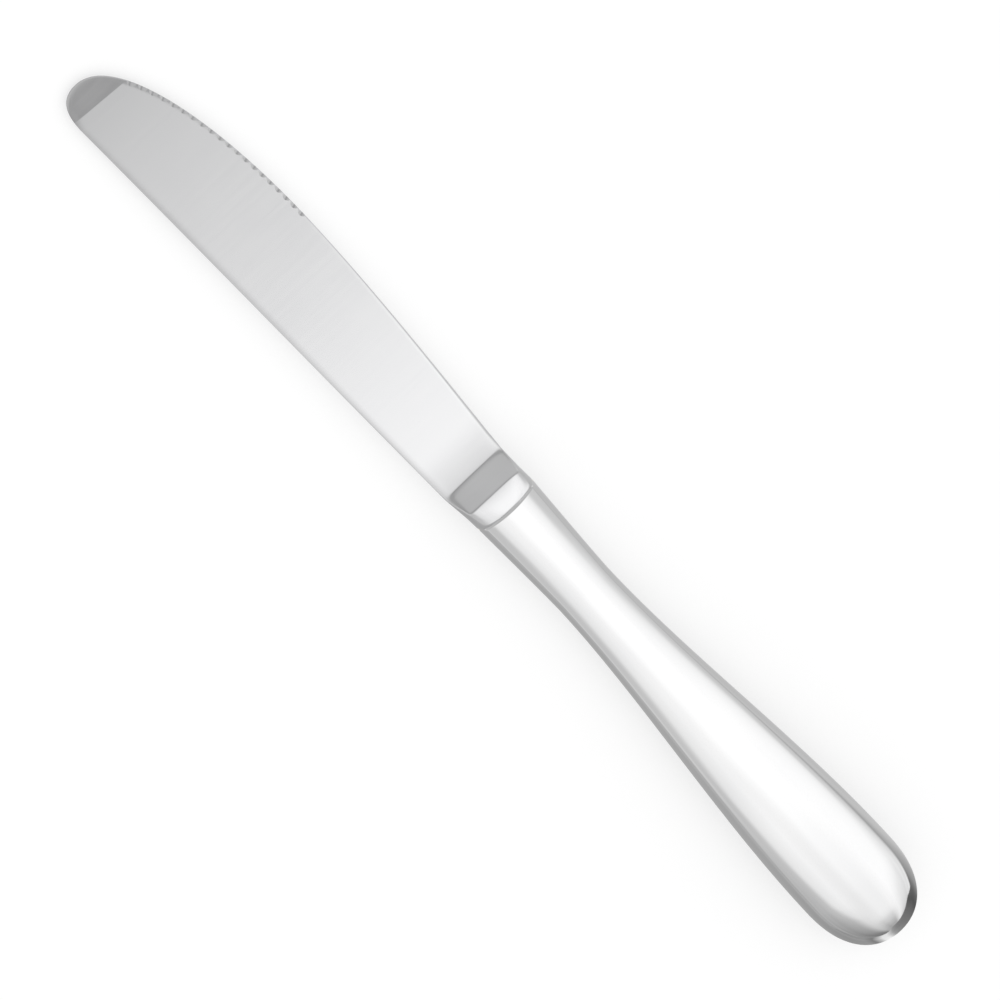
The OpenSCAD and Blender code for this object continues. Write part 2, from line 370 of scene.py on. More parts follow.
def buildShellTree():
    numbers = ["Belly At", "Butt Length", "Neck Length", "Mouth Width", "Neck Width",
               "Belly Width", "Skin Flatness", "Cavity Flatness", "Wall", "Mouth Round",
               "Mouth Fall", "Belly Swell", "Butt Round", "Stand Off", "Side", "Butt Share", "Weld"]
    tree, given = newGeometryTree("halfShell", numbers, ["Rows", "Columns"])
    do = sumsIn(tree)
    loops = do.times(given["Columns"], 2.0)
    grid = addNode(tree, "GeometryNodeMeshGrid", Size_X=1.0, Size_Y=1.0,
                   Vertices_X=do.plus(given["Rows"], 1.0), Vertices_Y=do.plus(loops, 1.0))
    position = addNode(tree, "GeometryNodeInputPosition")
    place = addNode(tree, "ShaderNodeSeparateXYZ", Vector=position.outputs[0])
    row = do.round(do.times(do.plus(place.outputs["X"], 0.5), given["Rows"]))
    column = do.round(do.times(do.plus(place.outputs["Y"], 0.5), loops))

    # round the section: skin one way, cavity back, and the last column meets the first
    fold = do.minus(do.minus(loops, 1.0), column)
    turn = do.larger(do.smaller(column, fold), 0.0)
    angle = do.over(do.times(turn, math.pi), do.minus(given["Columns"], 1.0))
    isInner = do.times(do.above(column, do.minus(given["Columns"], 0.5)),
                       do.below(column, do.minus(loops, 0.5)))
    inMouth = do.below(row, 0.5)  # the first row closes the wall halfway through it
    inward = choose(tree, inMouth, isInner, 0.5)
    inset = do.times(inward, given["Wall"])
    flatter = do.minus(given["Cavity Flatness"], given["Skin Flatness"])
    flatness = do.plus(given["Skin Flatness"], do.times(inward, flatter))

    # along the handle: neck and belly, with a rolled edge at the mouth
    length = do.over(do.larger(do.minus(row, 1.0), 0.0), do.minus(given["Rows"], 1.0))
    swellShare = do.minus(1.0, given["Butt Share"])
    reach = do.over(do.smaller(length, swellShare), swellShare)
    d = do.times(given["Belly At"], do.power(reach, 2.0))
    halfNeck = do.times(given["Neck Width"], 0.5)
    back = do.over(do.larger(do.minus(given["Neck Length"], d), 0.0), given["Neck Length"])
    mouthMore = do.times(do.minus(given["Mouth Width"], given["Neck Width"]), 0.5)
    mouthRise = do.times(mouthMore, do.power(back, given["Mouth Fall"]))
    fore = do.over(do.larger(do.minus(d, given["Neck Length"]), 0.0),
                   do.minus(given["Belly At"], given["Neck Length"]))
    swell = do.power(fore, given["Belly Swell"])
    eased = do.times(do.times(swell, swell), do.minus(3.0, do.times(swell, 2.0)))
    bellyMore = do.times(do.minus(given["Belly Width"], given["Neck Width"]), 0.5)
    bellyRise = do.times(bellyMore, eased)
    swellRadius = do.minus(do.plus(do.plus(halfNeck, mouthRise), bellyRise), inset)
    lip = do.larger(do.minus(1.0, do.over(d, given["Mouth Round"])), 0.0)
    lipDrop = do.times(given["Mouth Round"], do.minus(1.0, do.root(do.minus(1.0, do.times(lip, lip)))))
    onSkin = do.minus(1.0, do.smaller(do.times(inward, 2.0), 1.0))
    swellRadius = do.minus(swellRadius, do.times(lipDrop, onSkin))

    # the butt closes the handle in a full round
    buttShare = do.over(do.larger(do.minus(length, swellShare), 0.0), given["Butt Share"])
    buttTurn = do.times(buttShare, quarter)
    power = do.over(2.0, given["Butt Round"])
    buttWidth = do.minus(do.times(given["Belly Width"], 0.5), inset)
    buttRadius = do.times(buttWidth, do.power(do.larger(do.cosine(buttTurn), 0.0), power))
    buttReach = do.times(do.minus(given["Butt Length"], inset), do.power(do.sine(buttTurn), power))
    inButt = do.above(length, swellShare)
    radius = choose(tree, inButt, swellRadius, buttRadius)
    along = choose(tree, inButt, d, do.plus(given["Belly At"], buttReach))

    lift = do.times(do.times(radius, flatness), do.sine(angle))
    placed = addNode(tree, "ShaderNodeCombineXYZ", X=do.times(along, -1.0),
                     Y=do.times(radius, do.cosine(angle)),
                     Z=do.times(do.plus(lift, given["Stand Off"]), given["Side"]))
    shaped = addNode(tree, "GeometryNodeSetPosition", Geometry=grid.outputs["Mesh"],
                     Position=placed.outputs[0])
    turned = addNode(tree, "GeometryNodeFlipFaces", Mesh=shaped.outputs[0],
                     Selection=do.below(given["Side"], 0.0))
    closed = addNode(tree, "GeometryNodeMergeByDistance", Geometry=turned.outputs[0],
                     Distance=given["Weld"])
    smooth = addNode(tree, "GeometryNodeSetShadeSmooth", Geometry=closed.outputs[0])
    closeTree(tree, smooth.outputs[0], given["Finish"])
    return tree


def growShell(name, side, tree):
    values = {
        "Belly At": bellyAt, "Butt Length": handle["buttLength"], "Neck Length": handle["neckLength"],
        "Mouth Width": handle["mouthWidth"], "Neck Width": handle["neckWidth"],
        "Belly Width": handle["bellyWidth"], "Skin Flatness": handle["flatness"],
        "Cavity Flatness": cavityFlatness, "Wall": handle["wall"],
        "Mouth Round": handle["mouthRound"], "Mouth Fall": handle["mouthFall"],
        "Belly Swell": handle["bellySwell"], "Butt Round": handle["buttRound"],
        "Stand Off": handle["brazeGap"] / 2, "Side": side, "Butt Share": handle["buttShare"],
        "Weld": handle["weld"], "Rows": handle["rows"], "Columns": handle["columns"],
        "Finish": handleSteel,
    }
    return growMesh(name, tree, values)


# Blade: rings of points from the end of the tang to the nose

blade = {
    "length": 106.7,
    "heelSpine": 7.6,
    "heelEdge": 6.5,
    "bellyEdge": 9.0,
    "bellyX": 56.5,
    "tipSpine": 10.3,
    "noseY": 5.4,
    "noseLength": 7.4,
    "heelSpineThick": 2.0,
    "heelEdgeThick": 1.4,
    "tipSpineThick": 1.2,
    "thinLength": 5.3,
    "thinThick": 0.53,
    "thinSkew": 0.06,  # the step across the tip leans a little
    "thinWeld": 0.002,  # points this close to the step are taken as on it
    "thinClose": 0.003,  # edges this close to the step stay sharp
    "bevel": 0.9,
    "edgeThick": 0.24,
    "spineRound": 1.5,
    "spineDrop": 0.4,
    "sweepLength": 8.5,  # the cheek rises a little towards the ramp
    "sweepRise": 0.37,
    "heelFade": 5.0,  # the bevel fades in behind the ramp
    "rimSteps": 6,
    "cheekSteps": 28,
    "cheekTurns": (149.0, 21.0),  # the strings lie closer together near the rims
    "rimTurn": 3.0,  # the first string of the bolster, in degrees from its side
    "bladeRings": 150,
    "tipCrowding": 1.35,  # and the rings closer together towards the nose
    "weld": 0.0004,
    "sharpAngle": 20.0,
}
pulls = {
    "heelFlare": 0.066, "spineSlope": 0.033, "heel": 0.34, "bellyBack": 0.31, "bellyFore": 0.54,
    "noseFore": 0.64, "noseBack": 0.78, "noseTop": 0.62, "spine": 0.3,
}
tang = {
    "spigotLength": 8.0,
    "spigotGap": 0.06,
    "length": 42.0,
    "width": 7.0,
    "thick": 2.6,
    "notchRadius": 1.2,
    "notches": 4,
    "squareness": 12,
}
ringSteps = {"notch": 12, "spigot": 6, "mouth": 6, "barrel": 14, "crease": 10, "ramp": 5, "fillet": 12}
notchPitch = tang["length"] / (tang["notches"] + 1)
footX = bolster["length"] + bolster["rampLength"]
tipX = footX + blade["length"]
restPlace = layDown(tipX)


def curvePoints(a, b, c, d, steps=160):
    points = []
    for i in range(steps):
        t = i / steps
        start = (1 - t) ** 3 * a + 3 * (1 - t) ** 2 * t * b
        points.append(start + 3 * (1 - t) * t * t * c + t ** 3 * d)
    return points


def bladeOutline():
    heelLow = Vector((footX, -blade["heelEdge"]))
    bellyLow = Vector((footX + blade["bellyX"], -blade["bellyEdge"]))
    nose = Vector((tipX, blade["noseY"]))
    tipTop = Vector((tipX - blade["noseLength"], blade["tipSpine"]))
    heelTop = Vector((footX, blade["heelSpine"]))
    back, fore = blade["bellyX"], blade["length"] - blade["bellyX"]
    rise, top = blade["noseY"] + blade["bellyEdge"], blade["tipSpine"] - blade["noseY"]
    spineRun = blade["length"] - blade["noseLength"]
    slope = Vector((1, pulls["spineSlope"]))
    edge = curvePoints(heelLow, heelLow + back * pulls["heel"] * Vector((1, -pulls["heelFlare"])),
                       bellyLow - Vector((back * pulls["bellyBack"], 0)), bellyLow)
    edge += curvePoints(bellyLow, bellyLow + Vector((fore * pulls["bellyFore"], 0)),
                        nose - Vector((0, rise * pulls["noseFore"])), nose) + [nose]
    noseTop = curvePoints(nose, nose + Vector((0, top * pulls["noseBack"])),
                          tipTop + blade["noseLength"] * pulls["noseTop"] * slope, tipTop)
    spineLine = curvePoints(tipTop, tipTop - spineRun * pulls["spine"] * slope,
                            heelTop + spineRun * pulls["spine"] * slope, heelTop) + [heelTop]
    spine = list(reversed(noseTop + spineLine))
    rounded = [1.0] * len(spineLine) + [1 - i / len(noseTop) for i in range(1, len(noseTop) + 1)]
    return edge, spine, rounded


def measured(points):
    lengths = [0.0]
    for a, b in zip(points, points[1:]):
        lengths.append(lengths[-1] + (b - a).length)
    return [value / lengths[-1] for value in lengths]


def alongLine(points, places, share):
    low, high = 0, len(places) - 1
    while high - low > 1:
        middle = (low + high) // 2
        if places[middle] <= share:
            low = middle
        else:
            high = middle
    part = clamp((share - places[low]) / (places[high] - places[low]))
    point = points[low].lerp(points[high], part)
    direction = (points[min(high + 1, len(points) - 1)] - points[max(low - 1, 0)]).normalized()
    return point, direction, low, part


# how fast the cheek gets thinner towards the edge, and towards the tip
heelWidth = blade["heelSpine"] + blade["heelEdge"]
spineLength = blade["length"] - blade["noseLength"]
cheekFallY = (blade["heelSpineThick"] - blade["heelEdgeThick"]) / 2 / heelWidth
cheekFallX = ((blade["heelSpineThick"] - blade["tipSpineThick"]) / 2
              + cheekFallY * (blade["tipSpine"] - blade["heelSpine"])) / spineLength


def cheekHeight(x, y):
    sweep = blade["sweepRise"] * clamp(1 - (x - footX) / blade["sweepLength"]) ** 2
    return (blade["heelSpineThick"] / 2 - cheekFallX * (x - footX)
            - cheekFallY * (blade["heelSpine"] - y) + sweep)


def rimProfile(point, inward, roundShare):
    # from the rim to the flat cheek in a soft round, fuller at the spine than at the edge
    steps, points = blade["rimSteps"], []
    inset = mix(blade["bevel"], blade["spineRound"], roundShare)
    low = mix(blade["edgeThick"] / 2, cheekHeight(*point) - blade["spineDrop"], roundShare)
    inner = point + inward * inset
    high = cheekHeight(*inner)
    for k in range(steps + 1):
        q = k / steps
        reach, rise = 1 - math.cos(q * quarter), math.sin(q * quarter)
        spot = point + inward * inset * reach
        points.append(Vector((spot.x, spot.y, mix(low, high, rise))))
    return points


def cheekShares():
    # spaced so that the same strings follow the oval bolster
    steps = blade["cheekSteps"]
    first, last = [math.radians(turn) for turn in blade["cheekTurns"]]
    turns = [math.cos(mix(first, last, i / steps)) for i in range(1, steps)]
    low, high = math.cos(first), math.cos(last)
    return [(value - low) / (high - low) for value in turns]


def bladeRing(edge, edgePlaces, spine, spinePlaces, rounded, share):
    low, direction, _, _ = alongLine(edge, edgePlaces, share)
    high, back, index, part = alongLine(spine, spinePlaces, share)
    roundShare = mix(rounded[index], rounded[min(index + 1, len(rounded) - 1)], part)
    lower = rimProfile(low, Vector((-direction.y, direction.x)), 0.0)
    upper = rimProfile(high, Vector((back.y, -back.x)), roundShare)
    if share >= 1:
        upper = [spot.copy() for spot in lower]  # both sides meet at the nose
    middle = []
    for across in cheekShares():
        spot = lower[-1].lerp(upper[-1], across)
        middle.append(Vector((spot.x, spot.y, cheekHeight(spot.x, spot.y))))
    return lower + middle + list(reversed(upper))


def fullSection(top):
    # the same strings on a flat, full section without the bevel
    low, high = top[0].y, top[-1].y
    full = []
    for spot in top:
        across = (2 * spot.y - low - high) / (high - low) * bolster["footShare"]
        rise = (1 - abs(across) ** bolster["footFullness"]) ** (1 / bolster["footFullness"])
        full.append(Vector((spot.x, spot.y, cheekHeight(spot.x, spot.y) * rise)))
    return full


def ringTurns(top):
    low, high = top[0].y, top[-1].y
    ends = math.radians(blade["rimTurn"])
    turns = []
    for spot in top:
        across = clamp((2 * spot.y - low - high) / (high - low), -1, 1)
        turns.append(mix(ends, math.pi - ends, math.acos(across) / math.pi))
    return turns


def ovalSection(turns, x, shift, halfWidth, halfThick, squareness=2):
    power = 2 / squareness
    section = []
    for turn in turns:
        across, rise = math.cos(turn), math.sin(turn)
        y = math.copysign(abs(across) ** power, across) * halfWidth
        section.append(Vector((x, shift + y, halfThick * rise ** power)))
    return section


def blended(first, second, share):
    return [a.lerp(b, share) for a, b in zip(first, second)]


def creaseAt(turn):
    return bolster["length"] - bolster["creaseBack"] * (1 - math.sin(turn))


def barrelSection(turns, places):
    # each string has a place of its own along the bolster
    section = []
    for turn, x in zip(turns, places):
        share = x / bolster["length"]
        halfWidth = mix(handle["mouthWidth"], bolster["width"], share) / 2
        halfWidth -= roundOff(bolster["mouthRound"], x)
        crown = clamp(1 - (creaseAt(turn) - x) / bolster["crownLength"])
        halfThick = halfWidth * handle["flatness"] * bolsterFlat - bolster["crownFall"] * crown * crown
        across, rise = math.cos(turn), math.sin(turn)
        squarest = bolster["squareness"] if across > 0 else bolster["edgeSquareness"]
        power = 2 / mix(2, squarest, math.sqrt(share))
        y = bolster["lean"] * share + math.copysign(abs(across) ** power, across) * halfWidth
        section.append(Vector((x, y, halfThick * rise ** power)))
    return section


def tangSection(turns, x):
    halfWidth = tang["width"] / 2
    for i in range(1, tang["notches"] + 1):
        off = x + tang["spigotLength"] + i * notchPitch
        if abs(off) < tang["notchRadius"]:
            halfWidth -= math.sqrt(tang["notchRadius"] ** 2 - off * off)
    return ovalSection(turns, x, 0, halfWidth, tang["thick"] / 2, tang["squareness"])


def tangRings(turns):
    # from the end of the tang to the spigot, closer together at the notches
    root, steps = -tang["spigotLength"], ringSteps["notch"]
    reaches = [tang["notchRadius"] * math.cos(math.pi * k / steps) for k in range(steps + 1)]
    stops = [root - tang["length"], root]
    for i in range(1, tang["notches"] + 1):
        stops += [root - i * notchPitch + reach for reach in reaches]
    return [tangSection(turns, x) for x in sorted(stops)]


def spigotRings(turns):
    # the spigot follows the inside of the handle
    rings, steps = [], ringSteps["spigot"]
    for i in range(steps + 1):
        d = tang["spigotLength"] * (1 - i / steps)
        radius = handleRadius(d) - handle["wall"] - tang["spigotGap"]
        rings.append(ovalSection(turns, -d, 0, radius, radius * cavityFlatness))
    return rings


def barrelRings(turns):
    # the rolled edge at the joint, then the bolster as far as its rounded crease
    rings, steps = [], ringSteps["mouth"]
    for i in range(steps + 1):
        x = bolster["mouthRound"] * (1 - math.cos(quarter * i / steps))
        rings.append(barrelSection(turns, [x for turn in turns]))
    ends = [creaseAt(turn) - bolster["creaseRound"] for turn in turns]
    steps = ringSteps["barrel"]
    for i in range(1, steps + 1):
        rings.append(barrelSection(turns, [mix(bolster["mouthRound"], x, i / steps) for x in ends]))
    return rings


def cornerRings(before, corner, after, steps):
    # a soft corner between two straight runs
    rings = []
    for i in range(1, steps + 1):
        t = i / steps
        rings.append(blended(blended(before, corner, t), blended(corner, after, t), t))
    return rings


def fadedHeel(ring):
    # the bevel fades in behind the ramp
    fade = ease(clamp((ring[0].x - footX) / blade["heelFade"]))
    return blended(fullSection(ring), ring, fade) if fade < 1 else ring


def bladeRings():
    edge, spine, rounded = bladeOutline()
    ringAt = partial(bladeRing, edge, measured(edge), spine, measured(spine), rounded)
    count = blade["bladeRings"]
    plate = [ringAt(1 - (1 - i / count) ** blade["tipCrowding"]) for i in range(count + 1)]
    foot, turns = fullSection(plate[0]), ringTurns(plate[0])
    rings = tangRings(turns) + spigotRings(turns) + barrelRings(turns)

    # the crease, the ramp and the fillet at its foot
    top = barrelSection(turns, [creaseAt(turn) for turn in turns])
    rampFrom = bolster["creaseRound"] / bolster["rampLength"]
    rampTo = 1 - bolster["footRound"] / bolster["rampLength"]
    rings += cornerRings(rings[-1], top, blended(top, foot, rampFrom), ringSteps["crease"])
    for i in range(1, ringSteps["ramp"] + 1):
        rings.append(blended(top, foot, mix(rampFrom, rampTo, i / ringSteps["ramp"])))
    filletEnd = footX + bolster["footRound"]
    beyond = fadedHeel(ringAt((filletEnd - footX) / (plate[-1][0].x - footX)))
    rings += cornerRings(blended(top, foot, rampTo), foot, beyond, ringSteps["fillet"])
    clearOf = footX + bolster["footRound"] * bolster["footClear"]
    return rings + [fadedHeel(ring) for ring in plate if ring[0].x > clearOf]


def ringMesh(name, rings):
    shape = bmesh.new()
    loops = []
    for top in rings:
        under = [Vector((p.x, p.y, -p.z)) for p in reversed(top)]
        loops.append([shape.verts.new(p) for p in top + under])
    for first, second in zip(loops, loops[1:]):
        for i in range(len(first)):
            j = (i + 1) % len(first)
            shape.faces.new((first[i], first[j], second[j], second[i]))
    half = len(loops[0]) // 2
    for i in range(half - 1):  # the end of the tang
        shape.faces.new((loops[0][i + 1], loops[0][i], loops[0][-1 - i], loops[0][-2 - i]))
    bmesh.ops.remove_doubles(shape, verts=shape.verts, dist=blade["weld"])
    bmesh.ops.recalc_face_normals(shape, faces=shape.faces)
    if shape.calc_volume(signed=True) < 0:
        bmesh.ops.reverse_faces(shape, faces=shape.faces)
    for face in shape.faces:
        face.smooth = True
    mesh = bpy.data.meshes.new(name)
    shape.to_mesh(mesh)
    shape.free()
    return mesh


# Flutes: wheels set along the cutting edge by a tree, then cut from the blade

flutes = {
    "count": 20,
    "pitch": 2.1,
    "start": 6.7,  # from the tip back to the first flute
    "radius": 1.9,
    "depth": 0.19,
    "endDepth": 0.1,  # they get shallower towards the heel
    "slope": 34.0,
    "reach": 4.6,
    "clear": 40.0,  # well outside the edge, from where each place is looked up
    "sides": 72,
}


def buildFluteTree():
    numbers = ["Tip", "Start", "Pitch", "Radius", "Depth", "End Depth", "Slope", "Reach", "Clear"]
    tree, given = newGeometryTree("groundFlutes", numbers, ["Flutes", "Sides"])
    do = sumsIn(tree)

    # places along the edge, each a little below the surface of the cheek
    first = addNode(tree, "ShaderNodeCombineXYZ", X=do.minus(given["Tip"], given["Start"]),
                    Y=do.times(given["Clear"], -1.0))
    step = addNode(tree, "ShaderNodeCombineXYZ", X=do.times(given["Pitch"], -1.0))
    row = addNode(tree, "GeometryNodeMeshLine", {"mode": "OFFSET"}, Count=given["Flutes"],
                  Start_Location=first.outputs[0], Offset=step.outputs[0])
    hit = addNode(tree, "GeometryNodeRaycast", Target_Geometry=given["Geometry"],
                  Ray_Direction=(0.0, 1.0, 0.0), Ray_Length=do.times(given["Clear"], 2.0))
    number = addNode(tree, "GeometryNodeInputIndex").outputs[0]
    change = do.times(do.minus(given["End Depth"], given["Depth"]), do.over(number, given["Flutes"]))
    sink = addNode(tree, "ShaderNodeCombineXYZ", Z=do.times(do.plus(given["Depth"], change), -1.0))

    # each place faces into the blade
    inward = addNode(tree, "ShaderNodeVectorMath", {"operation": "SCALE"}, Scale=-1.0)
    tree.links.new(hit.outputs["Hit Normal"], inward.inputs[0])
    facing = addNode(tree, "FunctionNodeAlignRotationToVector", {"axis": "Y", "pivot_axis": "Z"},
                     Vector=inward.outputs[0])
    turns = {"data_type": "QUATERNION"}
    kept = addNode(tree, "GeometryNodeStoreNamedAttribute", {**turns, "domain": "POINT"},
                   Geometry=row.outputs[0], Name="facing", Value=facing.outputs[0])
    seated = addNode(tree, "GeometryNodeSetPosition", Geometry=kept.outputs[0],
                     Position=hit.outputs["Hit Position"], Offset=sink.outputs[0])

    # the wheel that grinds a flute
    wheel = addNode(tree, "GeometryNodeMeshCylinder", Vertices=given["Sides"], Radius=given["Radius"],
                    Depth=given["Reach"])
    beside = addNode(tree, "ShaderNodeCombineXYZ", Y=do.times(given["Radius"], -1.0))
    moved = addNode(tree, "GeometryNodeTransform", Geometry=wheel.outputs["Mesh"],
                    Translation=beside.outputs[0])
    lean = addNode(tree, "ShaderNodeCombineXYZ", X=do.radians(do.minus(given["Slope"], 90.0)))
    leaning = addNode(tree, "GeometryNodeTransform", Geometry=moved.outputs[0], Rotation=lean.outputs[0])
    recall = addNode(tree, "GeometryNodeInputNamedAttribute", turns, Name="facing")
    wheels = addNode(tree, "GeometryNodeInstanceOnPoints", Points=seated.outputs[0],
                     Instance=leaning.outputs[0], Rotation=recall.outputs[0])
    solid = addNode(tree, "GeometryNodeRealizeInstances", Geometry=wheels.outputs[0])
    cut = addNode(tree, "GeometryNodeMeshBoolean", {"operation": "DIFFERENCE", "solver": "EXACT"},
                  Mesh_1=given["Geometry"], Mesh_2=solid.outputs[0])
    closeTree(tree, cut.outputs["Mesh"], given["Finish"])
    return tree


def thinTheTip(mesh, reach=4):
    # the end of the blade is ground thinner from a straight step
    start = tipX - blade["thinLength"]
    step = Vector((start, blade["noseY"], 0))
    across = Vector((1, -blade["thinSkew"], 0)).normalized()
    fall = (cheekHeight(start, blade["noseY"]) - blade["thinThick"] / 2) / blade["thinLength"]
    shape = bmesh.new()
    shape.from_mesh(mesh)
    near = [v for v in shape.verts if v.co.x > start - reach]
    faces = {f for v in near for f in v.link_faces}
    edges = {e for f in faces for e in f.edges}
    verts = {v for f in faces for v in f.verts}
    bmesh.ops.bisect_plane(shape, geom=list(verts) + list(edges) + list(faces),
                           plane_co=step, plane_no=across, dist=blade["thinWeld"])
    for v in shape.verts:
        beyond = (v.co - step).dot(across)
        if beyond > 0:
            full = cheekHeight(v.co.x, v.co.y)
            v.co.z *= (full - fall * beyond) / full
    for e in shape.edges:
        if all(abs((v.co - step).dot(across)) < blade["thinClose"] for v in e.verts):
            e.smooth = False
    shape.to_mesh(mesh)
    shape.free()


def reportMesh(name, mesh):
    shape = bmesh.new()
    shape.from_mesh(mesh)
    loose = sum(1 for e in shape.edges if not e.is_manifold)
    print(name, "open edges", loose, "volume in cubic mm", round(shape.calc_volume(signed=True), 1))
    shape.free()


shellTree = buildShellTree()
shells = (("shellFront", 1.0, "handle_shell_front"), ("shellBack", -1.0, "handle_shell_back"))
for name, side, node in shells:
    shellMesh = growShell(name, side, shellTree)
    reportMesh(name, shellMesh)
    shellMesh.set_sharp_from_angle(angle=math.radians(handle["sharpAngle"]))
    shellMesh.transform(restPlace)
    addPiece(name, shellMesh, handleSteel, "handle_steel", node)

plain = ringMesh("bladePlain", bladeRings())
reportMesh("blade before the flutes", plain)
bladeMesh = growMesh("bladeForging", buildFluteTree(), {
    "Tip": tipX, "Start": flutes["start"], "Pitch": flutes["pitch"], "Radius": flutes["radius"],
    "Depth": flutes["depth"], "End Depth": flutes["endDepth"], "Slope": flutes["slope"],
    "Reach": flutes["reach"], "Clear": flutes["clear"], "Flutes": flutes["count"],
    "Sides": flutes["sides"], "Finish": bladeSteel,
}, plain)
bladeMesh.set_sharp_from_angle(angle=math.radians(blade["sharpAngle"]))
thinTheTip(bladeMesh)
reportMesh("blade with the flutes", bladeMesh)
bladeMesh.transform(restPlace)
addPiece("bladeForging", bladeMesh, bladeSteel, "blade_steel", "blade")

for node, finish in (("seam_braze", brazeMetal), ("tang_cement", tangCement)):
    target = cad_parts[node]
    target.data.materials.clear()
    target.data.materials.append(finish)
print("pieces made")


# Studio: a pale floor, an even sky, and cards around that only the metal mirrors

studio = {
    "floorSize": 9.0,
    "floorColour": (0.97, 0.97, 0.97),
    "floorGlow": 0.55,  # share of the white floor that is lit from below, which softens the shadow
    "skyLevel": 1.08,
    "ceilingHeight": 0.5,
    "cardSize": 9.0,
    "topLevel": 1.21,
    "wingHeight": 0.06,
    "wingFrom": 0.012,  # the wings fade in from this distance to the next
    "wingWhole": 0.03,
    "buttAt": -0.112,  # the surroundings of the butt turn about this place
    "flagReach": 0.17,
    "flagSteps": 40,
    "shadeCardLift": 0.0003,  # the painted-shade card under the knife and the foot of the flag lie just above the floor
    "flagFoot": 0.0004,
    "flagRim": 0.0001,  # the least height of the flag
    "wingEnd": -0.012,  # towards the tip the wings fade out from this place to the next
    "wingClear": -0.004,
    "sideFrom": -0.015,  # beyond the ramp the sides of the ceiling are grey
    "sideWhole": -0.003,
    "sideNear": 0.035,
    "sideFar": 0.065,
    "curveRoom": 1.05,  # the curves keep a little room above their highest place
}
# brightness of the ceiling by place along the knife, all in metres
ceilingAlong = [(-1.5, 0.38), (-1.1, 0.48), (-0.815, 0.637), (-0.7, 0.77), (-0.61, 0.825), (-0.43, 0.84),
                (-0.34, 0.855), (-0.323, 0.872), (-0.302, 0.9), (-0.27, 0.922), (-0.24, 0.97), (-0.21, 1.0),
                (-0.172, 1.0), (-0.16, 0.97), (-0.153, 0.945), (-0.1445, 0.965), (-0.135, 0.915),
                (-0.128, 0.875), (-0.1215, 0.85), (-0.115, 0.815), (-0.1086, 0.787), (-0.102, 0.757),
                (-0.0957, 0.739), (-0.0893, 0.717), (-0.0765, 0.69), (-0.0638, 0.666), (-0.051, 0.645),
                (-0.0385, 0.63), (-0.029, 0.62), (-0.02, 0.6), (-0.008, 0.35), (0.0, 0.275), (0.03, 0.26),
                (0.05, 0.33), (0.1, 0.38), (0.2, 0.43), (0.3, 0.455), (0.42, 0.475), (0.55, 0.48),
                (1.0, 0.47)]
# what is left of that brightness to the side, from the edge side to the spine side
ceilingAcross = [(-2.5, 0.55), (-1.2, 0.58), (-0.8, 0.68), (-0.5, 0.9), (-0.3, 1.0), (0.03, 1.0),
                 (0.08, 0.94), (0.17, 0.86), (0.28, 0.77), (0.46, 0.7), (0.8, 0.62), (1.2, 0.55),
                 (2.5, 0.5)]
# brightness of the sides beyond the ramp, and of the walls, by place along the knife
ceilingSides = [(-0.015, 0.42), (0.13, 0.39), (0.22, 0.55), (0.6, 0.57)]
wallAlong = [(-4.5, 0.38), (-3.2, 0.42), (-2.0, 0.54), (-0.8, 0.54), (0.0, 0.47), (4.5, 0.47)]
# painted shade and a painted glint that the metal mirrors from the card under the knife and from the flag:
# their brightness by the angle in degrees about the butt, from the tip round by the edge side, the butt at
# 0 and the spine side, and the card's gain with the distance from the knife in metres
paintedShadeAndGlintRound = [(-180, 0.56), (-164, 0.56), (-138, 0.57), (-117, 0.6), (-98, 0.58), (-80, 0.48), (-66, 0.4),
              (-55, 0.33), (-48, 0.23), (-40, 0.14), (-31, 0.1), (-24, 0.14), (-16, 0.18), (-8, 0.21),
              (-3, 0.24), (0, 0.26), (5, 0.35), (8, 0.57), (12, 0.9), (17, 0.88), (20, 0.6), (23.3, 0.42),
              (27, 0.22), (30, 0.28), (35, 0.33), (55, 0.32), (75, 0.35), (98, 0.39), (117, 0.41),
              (138, 0.42), (180, 0.44)]
shadeGainAlong = [(-0.01, 1.0), (0.008, 1.03), (0.014, 1.5), (0.05, 1.65), (0.075, 1.35), (0.1, 1.0),
              (0.14, 0.95)]
shadeGainAcross = [(-0.6, 0.92), (-0.15, 0.98), (-0.06, 1.02), (-0.03, 1.0), (-0.012, 1.02), (0.0, 1.1),
               (0.012, 1.02), (0.03, 1.0), (0.06, 1.08), (0.15, 1.3), (0.6, 1.45)]
# height of the dark flag behind the butt, by the same angle
flagHeights = [(-45, 0.0), (-34, 0.05), (-28, 0.057), (3, 0.055), (11, 0.03), (50, 0.024), (60, 0.0)]
# painted shade: a darker patch in the glow of both wings beside the butt, which the butt's flanks mirror
shadeDipAlong = [(-0.5, 0.42), (-0.3, 0.4), (-0.25, 0.32), (-0.2, 0.24), (-0.17, 0.17), (-0.15, 0.06),
            (-0.135, 0.0)]
shadeDipAcross = [(0.0, 0.0), (0.02, 0.3), (0.05, 1.0), (0.1, 1.0), (0.14, 0.55), (0.25, 0.5), (0.33, 0.0)]
